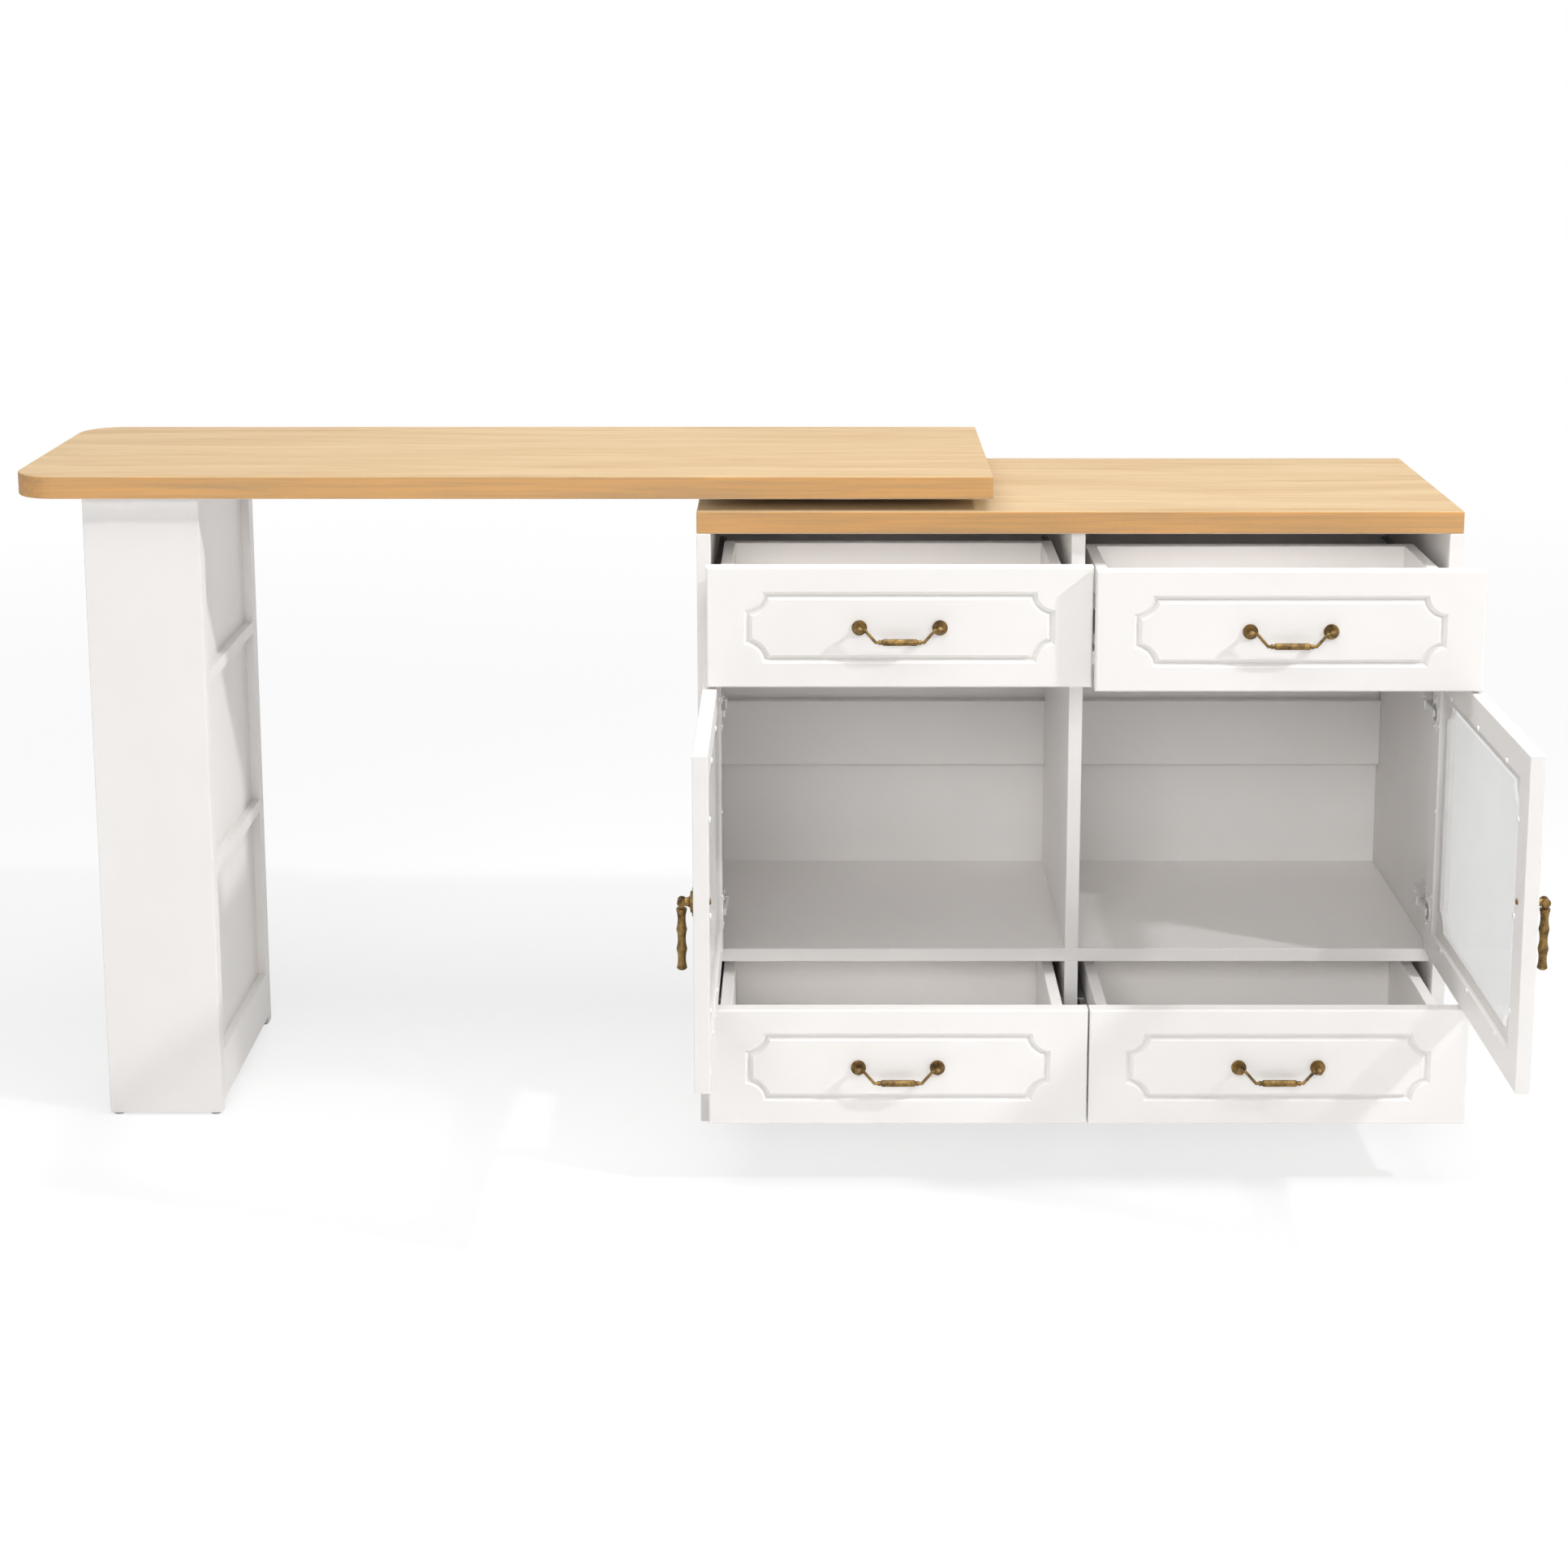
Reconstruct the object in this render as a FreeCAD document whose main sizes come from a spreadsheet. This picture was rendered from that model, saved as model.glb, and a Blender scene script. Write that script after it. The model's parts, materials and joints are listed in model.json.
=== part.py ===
import FreeCAD, Part
import math
import os
import re

import Sketcher

# A kitchen island: a cabinet with four drawers and two glazed doors, and a table
# top that turns over it on a swivel bearing and stands on a panelled leg.
# Millimetres. X runs along the island, -Y is the front, Z is up from the floor.
# The origin is on the floor under the middle of the cabinet.

SIZES = {
    # cabinet
    "cabinet_width": 1000,
    "cabinet_depth": 400,
    "carcass_height": 812,
    "board": 18,
    "edge_break": 0.8,
    "top_thickness": 30,
    "top_round": 2,
    "inner_recess": 20,
    "back_thickness": 5,
    "back_inset": 5,
    "base_height": 90,
    "shelf_drop": 5,
    "deck_drop": 5,
    "plinth_recess": 60,
    "rail_height": 96,
    "rail_thickness": 15,
    "rail_rise": 152,
    # drawer fronts and doors
    "front_thickness": 18,
    "front_height": 153,
    "front_round": 2.5,
    "side_gap": 1.5,
    "centre_gap": 2,
    "row_gap": 3,
    "top_gap": 4,
    "groove_margin_x": 46.5,
    "groove_margin_z": 31,
    "groove_half": 5.2,
    "groove_depth": 5.5,
    "scallop_radius": 23,
    # drawers
    "upper_left_out": 185,
    "upper_right_out": 206,
    "lower_left_out": 213,
    "lower_right_out": 213,
    "wall": 15,
    "box_height": 107,
    "box_rise": 5,
    "box_depth": 340,
    "floor_thickness": 5,
    "floor_rise": 8,
    # runners
    "runner_space": 12.7,
    "runner_start": 25,
    "runner_length": 350,
    "slide_length": 325,
    "runner_height": 36,
    "runner_steel": 1.5,
    "runner_play": 0.4,
    "track_width": 9.5,
    "slide_reach": 3,
    # drawer handles
    "post_half": 50,
    "post_reach": 14,
    "rose_radius": 9.5,
    "rose_edge": 1.8,
    "rose_step_radius": 7.4,
    "rose_height": 3.4,
    "stem_radius": 3,
    "knob_radius": 4.4,
    "bail_drop": 15.5,
    "bail_half": 30,
    "bail_play": 0.3,
    "arm_radius": 1.9,
    "pin_radius": 1.4,
    "pin_bite": 1,
    "grip_half": 22.5,
    "grip_radius": 4.2,
    "grip_taper": 2,
    "grip_neck_radius": 2.6,
    "grip_neck": 1.5,
    "collar_radius": 3.1,
    "collar": 2.2,
    # doors
    "door_open": 90,
    "door_axis_in": 3.3,
    "door_axis_back": 2.4,
    "stile": 55,
    "door_rail": 50,
    "rabbet_lip": 14,
    "rabbet_depth": 7,
    "opening_bevel": 8,
    "opening_bevel_depth": 6,
    "glass_thickness": 4,
    "glass_play": 0.5,
    # door hinges
    "hinge_top_drop": 75,
    "hinge_bottom_rise": 59,
    "cup_inset": 18,
    "cup_radius": 13,
    "cup_depth": 11,
    "cup_wall": 1.2,
    "cup_play": 0.1,
    "cup_flange": 2.5,
    "wing_width": 14,
    "wing_height": 46,
    "plate_start": 28,
    "plate_length": 50,
    "plate_height": 24,
    "plate_thickness": 1.5,
    "arm_length": 44,
    "arm_height": 14,
    "ear_thickness": 2.2,
    "ear_margin": 3.5,
    "ear_root": 8,
    "link_axis_in": 17,
    "link_axis_back": 24,
    "link_thickness": 3,
    "link_length": 48,
    "link_eye": 3.2,
    "link_play": 0.3,
    "link_pin_radius": 1.5,
    # door pulls
    "pull_inset": 28,
    "pull_height": 470,
    "pull_reach": 14.5,
    "pull_rose_radius": 17,
    "pull_step_radius": 12.5,
    "pull_step": 4,
    "pull_cove": 5,
    "pull_stem_radius": 5,
    "clevis_radius": 5,
    "clevis_length": 13,
    "clevis_pin_radius": 1.4,
    "tongue_thickness": 4,
    "tongue_play": 0.3,
    "tongue_room": 1,
    "tongue_eye": 3.2,
    "tongue_length": 8,
    "bamboo_joint": 24,
    "bamboo_radius": 6.2,
    "bamboo_waist": 4.7,
    "bamboo_ring": 2,
    # swivel bearing
    "pivot_inset": 193,
    "swivel_gap": 16,
    "swivel_plate_radius": 120,
    "swivel_plate": 3,
    "spigot_radius": 14,
    "spigot_play": 0.3,
    "ring_outer_radius": 104,
    "ring_inner_radius": 90,
    "ring_bevel": 2,
    "ring_play": 0.2,
    # table top and leg
    "table_reach": 193,
    "table_length": 1280,
    "table_corner": 55,
    "leg_overhang": 89,
    "leg_width": 152,
    "leg_inset": 22,
    "leg_depth": 338,
    "leg_foot_gap": 15,
    "leg_stile": 9,
    "leg_bottom_rail": 83,
    "leg_lower_rail": 332,
    "leg_upper_rail": 598,
    "leg_rail_height": 18,
    "leg_top_rail": 24,
    "leg_recess": 11,
    "glide_height": 3,
    "glide_radius": 7,
    "glide_inset": 10,
}

WORKED = {
    "half_width": "cabinet_width / 2",
    "inner_half": "half_width - board",
    "divider_half": "board / 2",
    "front_y": "-cabinet_depth / 2",
    "inner_front_y": "front_y + inner_recess",
    "back_inner_y": "cabinet_depth / 2 - back_inset - back_thickness",
    "inner_depth": "back_inner_y - inner_front_y",
    "bay_width": "inner_half - divider_half",
    "lower_front_z": "base_height",
    "upper_front_z": "carcass_height - top_gap - front_height",
    "shelf_z": "base_height + front_height - shelf_drop - board",
    "shelf_top_z": "shelf_z + board",
    "deck_z": "upper_front_z - deck_drop - board",
    "bottom_z": "base_height - board",
    "front_width": "inner_half - side_gap - centre_gap / 2",
    "front_middle": "(inner_half - side_gap + centre_gap / 2) / 2",
    "door_z": "base_height + front_height + row_gap",
    "door_height": "upper_front_z - row_gap - door_z",
    "worktop_top_z": "carcass_height + top_thickness",
    "table_z": "worktop_top_z + swivel_gap",
    "groove_width": "front_width / 2 - groove_margin_x",
    "groove_height": "front_height / 2 - groove_margin_z",
    "box_width": "bay_width - 2 * runner_space",
    "box_near": "divider_half + runner_space",
    "box_far": "inner_half - runner_space",
    "slide_height": "runner_height - 2 * runner_steel - 2 * runner_play",
    "arm_top": "post_half - knob_radius - arm_radius - bail_play",
    "arm_in": "arm_top - bail_half",
    "grip_end": "grip_half + grip_neck + collar",
    "door_axis_x": "inner_half - side_gap + door_axis_in",
    "door_axis_y": "front_y + door_axis_back",
    "door_middle": "door_axis_in + front_width / 2",
    "door_middle_z": "door_z + door_height / 2",
    "door_back": "front_thickness - door_axis_back",
    "hinge_top_z": "door_z + door_height - hinge_top_drop",
    "hinge_bottom_z": "door_z + hinge_bottom_rise",
    "glass_half_x": "front_width / 2 - stile + rabbet_lip",
    "glass_half_z": "door_height / 2 - door_rail + rabbet_lip",
    "link_axis_x": "inner_half - link_axis_in",
    "link_axis_y": "front_y + link_axis_back",
    "link_height": "arm_height - 2 * ear_thickness - 2 * link_play",
    "pull_x": "door_axis_in + front_width - pull_inset",
    "pull_y": "-door_axis_back - pull_reach",
    "pivot_x": "pivot_inset - half_width",
    "table_right_x": "pivot_x + table_reach",
    "leg_left_x": "table_right_x - table_length + leg_overhang",
    "leg_front_y": "front_y + leg_inset",
    "leg_back_y": "leg_front_y + leg_depth",
    "leg_right_x": "leg_left_x + leg_width",
    "leg_inner_depth": "leg_depth - 2 * board",
}

doc = FreeCAD.newDocument("kitchen_island")
sheet = doc.addObject("Spreadsheet::Sheet", "sizes")
for row, (alias, size) in enumerate(SIZES.items(), start=1):
    sheet.set(f"A{row}", alias)
    sheet.set(f"B{row}", str(size))
    sheet.setAlias(f"B{row}", alias)
doc.recompute()

WORD = re.compile(r"[a-z][a-z_]*")
SIDES = {"left": -1, "right": 1}
ROWS = ("upper", "lower")
UP = FreeCAD.Vector(0, 0, 1)
ALONG_X = (FreeCAD.Vector(0, 1, 0), 90)
FORWARD = (FreeCAD.Vector(1, 0, 0), 90)
BACKWARD = (FreeCAD.Vector(1, 0, 0), -90)
NEAR = 1e-5
nodes = []


# Formulas and placing

def formula(text):
    """A formula in the sheet's cells, with each worked-out name written out."""

    def written_out(match):
        word = match.group(0)
        if word in SIZES:
            return f"sizes.{word}"
        if word in WORKED:
            return f"({formula(WORKED[word])})"
        return word

    return WORD.sub(written_out, str(text))


def value(text):
    return float(sheet.evalExpression(formula(text)))


def bind(thing, **sizes):
    for name, text in sizes.items():
        thing.setExpression(name, formula(text))
    return thing


def place(thing, x, y, z, turn=None):
    """Puts a thing at a point, turned about an axis by an angle."""
    if turn:
        thing.Placement = FreeCAD.Placement(FreeCAD.Vector(), FreeCAD.Rotation(*turn))
    for axis, text in zip("xyz", (x, y, z)):
        thing.setExpression(f"Placement.Base.{axis}", formula(text))
    return thing


def node(thing, label):
    thing.Label = label
    nodes.append(thing)
    return thing


def low_x(side, near, far):
    """The lower X of what spans from near to far of the middle, on one side."""
    return f"-({far})" if side < 0 else near


# Kinds of piece

def board(name, x, y, z, length, width, height):
    """A cut board with its edges broken."""
    piece = doc.addObject("PartDesign::Body", name)
    block = piece.newObject("PartDesign::AdditiveBox", f"{name}_block")
    bind(block, Length=length, Width=width, Height=height)
    edges = piece.newObject("PartDesign::Chamfer", f"{name}_edges")
    edges.Base = (block, [""])
    edges.UseAllEdges = True
    bind(edges, Size="edge_break")
    piece.Tip = edges
    return place(piece, x, y, z)


def box(name, x, y, z, length, width, height):
    piece = doc.addObject("Part::Box", name)
    bind(piece, Length=length, Width=width, Height=height)
    return place(piece, x, y, z)


def rod(name, x, y, z, radius, height, turn=None):
    piece = doc.addObject("Part::Cylinder", name)
    bind(piece, Radius=radius, Height=height)
    return place(piece, x, y, z, turn)


def ball(name, x, y, z, radius):
    piece = doc.addObject("Part::Sphere", name)
    bind(piece, Radius=radius)
    return place(piece, x, y, z)


def fused(name, pieces):
    whole = doc.addObject("Part::MultiFuse", name)
    whole.Shapes = pieces
    whole.Refine = True
    return whole


def cut(name, base, tool):
    left = doc.addObject("Part::Cut", name)
    left.Base = base
    left.Tool = tool
    return left


def group(label, pieces):
    """Like pieces that share a node, each a solid of its own."""
    whole = doc.addObject("Part::Compound", label)
    whole.Links = pieces
    return node(whole, label)


def sketch_on(piece, name, plane, out="0"):
    """A sketch on one of the piece's own planes, moved out along its normal."""
    sketch = piece.newObject("Sketcher::SketchObject", name)
    support = next(f for f in piece.Origin.OriginFeatures if f.Role == plane)
    sketch.AttachmentSupport = [(support, "")]
    sketch.MapMode = "FlatFace"
    sketch.setExpression("AttachmentOffset.Base.z", formula(out))
    return sketch


def fix_point(sketch, edge, end, x, y):
    for kind, text in (("DistanceX", x), ("DistanceY", y)):
        index = sketch.addConstraint(Sketcher.Constraint(kind, -1, 1, edge, end, value(text)))
        sketch.setExpression(f"Constraints[{index}]", formula(text))


def outline(sketch, corners, arcs=None):
    """A closed outline. arcs gives the centre and radius of an arc from a corner to the next."""
    arcs = arcs or {}
    spots = [FreeCAD.Vector(value(x), value(y), 0) for x, y in corners]
    ends = []
    for i, start in enumerate(spots):
        stop = spots[(i + 1) % len(spots)]
        if i not in arcs:
            sketch.addGeometry(Part.LineSegment(start, stop))
            ends.append((1, 2))
            continue
        x, y, radius = arcs[i]
        centre = FreeCAD.Vector(value(x), value(y), 0)
        first, last = (math.atan2(p.y - centre.y, p.x - centre.x) for p in (start, stop))
        onward = (start - centre).cross(stop - centre).z > 0
        circle = Part.Circle(centre, UP, value(radius))
        angles = (first, last) if onward else (last, first)
        sketch.addGeometry(Part.ArcOfCircle(circle, *angles))
        ends.append((1, 2) if onward else (2, 1))
    for i, (x, y) in enumerate(corners):
        after = (i + 1) % len(spots)
        sketch.addConstraint(Sketcher.Constraint("Coincident", i, ends[i][1], after, ends[after][0]))
        fix_point(sketch, i, ends[i][0], x, y)
        if i in arcs:
            radius = arcs[i][2]
            index = sketch.addConstraint(Sketcher.Constraint("Radius", i, value(radius)))
            sketch.setExpression(f"Constraints[{index}]", formula(radius))
    return sketch


def rectangle(sketch, half_x, half_y):
    signs = ((-1, -1), (1, -1), (1, 1), (-1, 1))
    return outline(sketch, [(f"{a} * ({half_x})", f"{b} * ({half_y})") for a, b in signs])


def ticket(sketch, half_x, half_y, inset):
    """A rectangle with scooped corners, drawn in by inset from the half sizes."""
    radius = f"scallop_radius + {inset}"
    reach = f"sqrt(scallop_radius * scallop_radius + 2 * scallop_radius * ({inset}))"
    corners, arcs = [], {}
    for a, b, upright_first in ((1, 1, True), (-1, 1, False), (-1, -1, True), (1, -1, False)):
        on_upright = (f"{a} * ({half_x} - ({inset}))", f"{b} * ({half_y} - {reach})")
        on_level = (f"{a} * ({half_x} - {reach})", f"{b} * ({half_y} - ({inset}))")
        arcs[len(corners)] = (f"{a} * ({half_x})", f"{b} * ({half_y})", radius)
        corners += (on_upright, on_level) if upright_first else (on_level, on_upright)
    return outline(sketch, corners, arcs)


def pad(piece, sketch, length, backwards=False):
    made = piece.newObject("PartDesign::Pad", f"{sketch.Name}_pad")
    made.Profile = sketch
    made.Reversed = backwards
    bind(made, Length=length)
    piece.Tip = made
    return made


def pocket(piece, sketch, length, backwards=False):
    made = piece.newObject("PartDesign::Pocket", f"{sketch.Name}_pocket")
    made.Profile = sketch
    made.Reversed = backwards
    bind(made, Length=length)
    piece.Tip = made
    return made


def loft(piece, kind, first, second):
    made = piece.newObject(f"PartDesign::{kind}Loft", f"{first.Name}_loft")
    made.Profile = first
    made.Sections = [second]
    made.Ruled = True
    piece.Tip = made
    return made


def turned(name, corners, arcs=None):
    """A piece turned about its own Z from a profile of radius and height."""
    piece = doc.addObject("PartDesign::Body", name)
    sketch = outline(sketch_on(piece, f"{name}_profile", "XZ_Plane"), corners, arcs)
    made = piece.newObject("PartDesign::Revolution", f"{name}_turning")
    made.Profile = sketch
    made.ReferenceAxis = (sketch, ["V_Axis"])
    made.Angle = 360
    piece.Tip = made
    return piece


def round_edges(piece, radius, wanted):
    """Rounds the edges of the piece's last feature that pass a test."""
    doc.recompute()
    base = piece.Tip
    names = [f"Edge{i}" for i, edge in enumerate(base.Shape.Edges, start=1) if wanted(edge)]
    made = piece.newObject("PartDesign::Fillet", f"{piece.Name}_rounds")
    made.Base = (base, names)
    bind(made, Radius=radius)
    piece.Tip = made


def lies_on(edge, axis, levels):
    """Does a whole edge lie at one of the levels along an axis?"""
    low = getattr(edge.BoundBox, f"{axis}Min")
    high = getattr(edge.BoundBox, f"{axis}Max")
    return any(math.isclose(low, v, abs_tol=NEAR) and math.isclose(high, v, abs_tol=NEAR) for v in levels)


# Cabinet

def carcass():
    for name, side in SIDES.items():
        label = f"{name}_side_panel"
        x = low_x(side, "inner_half", "half_width")
        node(board(label, x, "front_y", "0", "board", "cabinet_depth", "carcass_height"), label)
        x = low_x(side, "divider_half", "inner_half")
        label = f"{name}_deck"
        node(board(label, x, "inner_front_y", "deck_z", "bay_width", "inner_depth", "board"), label)
    uprights = {
        "centre_divider": ("shelf_top_z", "carcass_height - shelf_top_z"),
        "lower_divider": ("0", "shelf_z"),
    }
    for label, (z, height) in uprights.items():
        node(board(label, "-divider_half", "inner_front_y", z, "board", "inner_depth", height), label)
    width = "2 * inner_half"
    shelf = board("shelf", "-inner_half", "inner_front_y", "shelf_z", width, "inner_depth", "board")
    node(shelf, "shelf")
    back = board("back_panel", "-inner_half", "back_inner_y", "0", width, "back_thickness", "carcass_height")
    node(back, "back_panel")


def bay_boards():
    """The boards that repeat in the left and the right bay."""
    bottoms, plinths, rails = [], [], []
    for name, side in SIDES.items():
        x = low_x(side, "divider_half", "inner_half")
        y = "inner_front_y"
        bottoms.append(board(f"{name}_bottom", x, y, "bottom_z", "bay_width", "inner_depth", "board"))
        y = "front_y + plinth_recess"
        plinths.append(board(f"{name}_plinth", x, y, "0", "bay_width", "board", "bottom_z"))
        y = "back_inner_y - rail_thickness"
        z = "shelf_top_z + rail_rise"
        rails.append(board(f"{name}_rail", x, y, z, "bay_width", "rail_thickness", "rail_height"))
    group("bottom_panels", bottoms)
    group("plinths", plinths)
    group("back_rails", rails)


def worktop():
    piece = doc.addObject("PartDesign::Body", "worktop")
    block = piece.newObject("PartDesign::AdditiveBox", "worktop_block")
    bind(block, Length="cabinet_width", Width="cabinet_depth", Height="top_thickness")
    edges = piece.newObject("PartDesign::Fillet", "worktop_rounds")
    edges.Base = (block, [""])
    edges.UseAllEdges = True
    bind(edges, Radius="top_round")
    piece.Tip = edges
    node(place(piece, "-half_width", "front_y", "carcass_height"), "worktop")


# Drawers

def drawer_front(label, x, y, z):
    """A front with a scooped-corner groove: sunk as one taper, its field raised again as another."""
    piece = doc.addObject("PartDesign::Body", label)
    face = rectangle(sketch_on(piece, f"{label}_face", "XZ_Plane"), "front_width / 2", "front_height / 2")
    pad(piece, face, "front_thickness", backwards=True)
    levels = {
        "rim": ("0", "0"),
        "bed": ("groove_half", "-groove_depth"),
        "root": ("groove_half", "-groove_depth"),
        "field": ("2 * groove_half", "0"),
    }
    lines = {}
    for name, (inset, out) in levels.items():
        lines[name] = sketch_on(piece, f"{label}_{name}", "XZ_Plane", out)
        ticket(lines[name], "groove_width", "groove_height", inset)
    loft(piece, "Subtractive", lines["rim"], lines["bed"])
    loft(piece, "Additive", lines["root"], lines["field"])
    sides = [s * value("front_width / 2") for s in (-1, 1)]
    ends = [s * value("front_height / 2") for s in (-1, 1)]
    round_edges(
        piece,
        "front_round",
        lambda e: lies_on(e, "Y", [0.0]) and (lies_on(e, "X", sides) or lies_on(e, "Z", ends)),
    )
    return node(place(piece, x, y, f"{z} + front_height / 2"), label)


def drawer_box(name, side, y, z):
    near, far = "box_near", "box_far"
    start = f"{y} + front_thickness"
    low = f"{z} + box_rise"
    x = low_x(side, near, far)
    inner_x = f"{x} + wall"
    inner = "box_width - 2 * wall"
    walls = [
        board(f"{name}_wall_{end}", at, start, low, "wall", "box_depth", "box_height")
        for end, at in (("a", x), ("b", f"{x} + box_width - wall"))
    ]
    back = f"{start} + box_depth - wall"
    walls.append(board(f"{name}_wall_back", inner_x, back, low, inner, "wall", "box_height"))
    group(f"{name}_drawer_walls", walls)
    label = f"{name}_drawer_bottom"
    floor_z = f"{low} + floor_rise"
    node(board(label, inner_x, start, floor_z, inner, "box_depth - wall", "floor_thickness"), label)


def channel(name, corners, x, y, z, length):
    """A rolled steel channel, drawn in section and drawn out along Y."""
    piece = doc.addObject("PartDesign::Body", name)
    pad(piece, outline(sketch_on(piece, f"{name}_section", "XZ_Plane"), corners), length, backwards=True)
    return place(piece, x, y, z)


def track_section(way):
    half, lip = "runner_height / 2", "(runner_height / 2 - runner_steel)"
    deep, thin = f"{way} * track_width", f"{way} * runner_steel"
    lower = [("0", f"-{half}"), (deep, f"-{half}"), (deep, f"-{lip}"), (thin, f"-{lip}")]
    return lower + [(x, z[1:]) for x, z in reversed(lower)]


def slide_section(way):
    half, lip = "slide_height / 2", "(slide_height / 2 - runner_steel)"
    web = f"{way} * runner_space"
    inner, tip = f"{way} * (runner_space - runner_steel)", f"{way} * slide_reach"
    lower = [(web, f"-{half}"), (tip, f"-{half}"), (tip, f"-{lip}"), (inner, f"-{lip}")]
    return lower + [(x, z[1:]) for x, z in reversed(lower)]


def runners(name, side, out, z):
    """The fixed tracks of one drawer, and its own slides inside them."""
    middle = f"{z} + box_rise + box_height / 2"
    tracks, slides = [], []
    start = "front_y + runner_start"
    for seat, way in (("divider_half", 1), ("inner_half", -1)):
        x = f"{side} * {seat}"
        mark = f"{name}_{seat}"
        section = track_section(side * way)
        tracks.append(channel(f"{mark}_track", section, x, start, middle, "runner_length"))
        section = slide_section(side * way)
        slides.append(channel(f"{mark}_slide", section, x, f"{start} - {out}", middle, "slide_length"))
    group(f"{name}_drawer_slides", slides)
    return tracks


def knob_post(name, x, y, z, inward):
    """A handle post: a stepped rose, a stem and a knob bored for the bail's pin."""
    joint = "post_reach - sqrt(knob_radius * knob_radius - stem_radius * stem_radius)"
    corners = [
        ("0", "0"),
        ("rose_radius", "0"),
        ("rose_radius", "rose_edge"),
        ("rose_step_radius", "rose_edge"),
        ("rose_step_radius", "rose_height"),
        ("stem_radius", "rose_height"),
        ("stem_radius", joint),
        ("0", "post_reach + knob_radius"),
    ]
    knob = {len(corners) - 2: ("0", "post_reach", "knob_radius")}
    body = turned(f"{name}_turned", corners, knob)
    place(body, x, y, z, FORWARD)
    length = "2 * knob_radius"
    start = f"{x} - {length}" if inward < 0 else x
    bore = rod(f"{name}_bore", start, f"{y} - post_reach", z, "pin_radius + bail_play", length, ALONG_X)
    return cut(name, body, bore)


def bail(label, x, y, z):
    """A hanging bail: a turned grip on two bent arms whose pins turn in the knobs."""
    half = [
        ("arm_radius", "bail_half"),
        ("arm_radius", "grip_end"),
        ("collar_radius", "grip_end"),
        ("collar_radius", "grip_end - collar"),
        ("grip_neck_radius", "grip_half"),
        ("grip_radius", "grip_half - grip_taper"),
    ]
    lower = [(r, f"-({h})") for r, h in half]
    corners = [("0", "-bail_half")] + lower + half[::-1] + [("0", "bail_half")]
    low = f"{z} - bail_drop"
    grip = place(turned(f"{label}_grip", corners), x, y, low, ALONG_X)
    pieces = [grip]
    turn = "180 deg - atan(arm_in / bail_drop)"
    for mark, way in SIDES.items():
        knee = f"{x} + {way} * bail_half"
        top = f"{x} + {way} * arm_top"
        length = "sqrt(arm_in * arm_in + bail_drop * bail_drop)"
        arm = rod(f"{label}_arm_{mark}", top, y, z, "arm_radius", length)
        arm.Placement.Rotation = FreeCAD.Rotation(FreeCAD.Vector(0, -way, 0), value(turn))
        arm.setExpression("Placement.Rotation.Angle", formula(turn))
        pieces += [arm, ball(f"{label}_knee_{mark}", knee, y, low, "arm_radius")]
        pieces.append(ball(f"{label}_elbow_{mark}", top, y, z, "arm_radius"))
        length = "post_half - arm_top - pin_bite"
        start = top if way > 0 else f"{top} - ({length})"
        pieces.append(rod(f"{label}_pin_{mark}", start, y, z, "pin_radius", length, ALONG_X))
    return node(fused(label, pieces), label)


def drawers():
    tracks = []
    for row in ROWS:
        for hand, side in SIDES.items():
            name = f"{row}_{hand}"
            out = f"{name}_out"
            y, z = f"(front_y - {out})", f"{row}_front_z"
            middle = f"{side} * front_middle"
            drawer_front(f"{name}_drawer_front", middle, y, z)
            drawer_box(name, side, y, z)
            tracks += runners(name, side, out, z)
            grip_z = f"{z} + front_height / 2"
            posts = [
                knob_post(f"{name}_post_{mark}", f"{middle} + {way} * post_half", y, grip_z, -way)
                for mark, way in SIDES.items()
            ]
            group(f"{name}_handle_posts", posts)
            bail(f"{name}_bail", middle, f"{y} - post_reach", grip_z)
    group("runner_tracks", tracks)


# Doors, drawn closed about their hinge axis and then swung open

def hang(label, side, pieces):
    whole = group(label, pieces)
    turn = FreeCAD.Rotation(FreeCAD.Vector(0, 0, side), value("door_open"))
    whole.Placement = FreeCAD.Placement(FreeCAD.Vector(), turn)
    place(whole, f"{side} * door_axis_x", "door_axis_y", "0")
    whole.setExpression("Placement.Rotation.Angle", formula("door_open"))
    return whole


def bores(sketch, spots, radius):
    for i, (x, y) in enumerate(spots):
        centre = FreeCAD.Vector(value(x), value(y), 0)
        sketch.addGeometry(Part.Circle(centre, UP, value(radius)))
        fix_point(sketch, i, 3, x, y)
        index = sketch.addConstraint(Sketcher.Constraint("Radius", i, value(radius)))
        sketch.setExpression(f"Constraints[{index}]", formula(radius))
    return sketch


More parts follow.
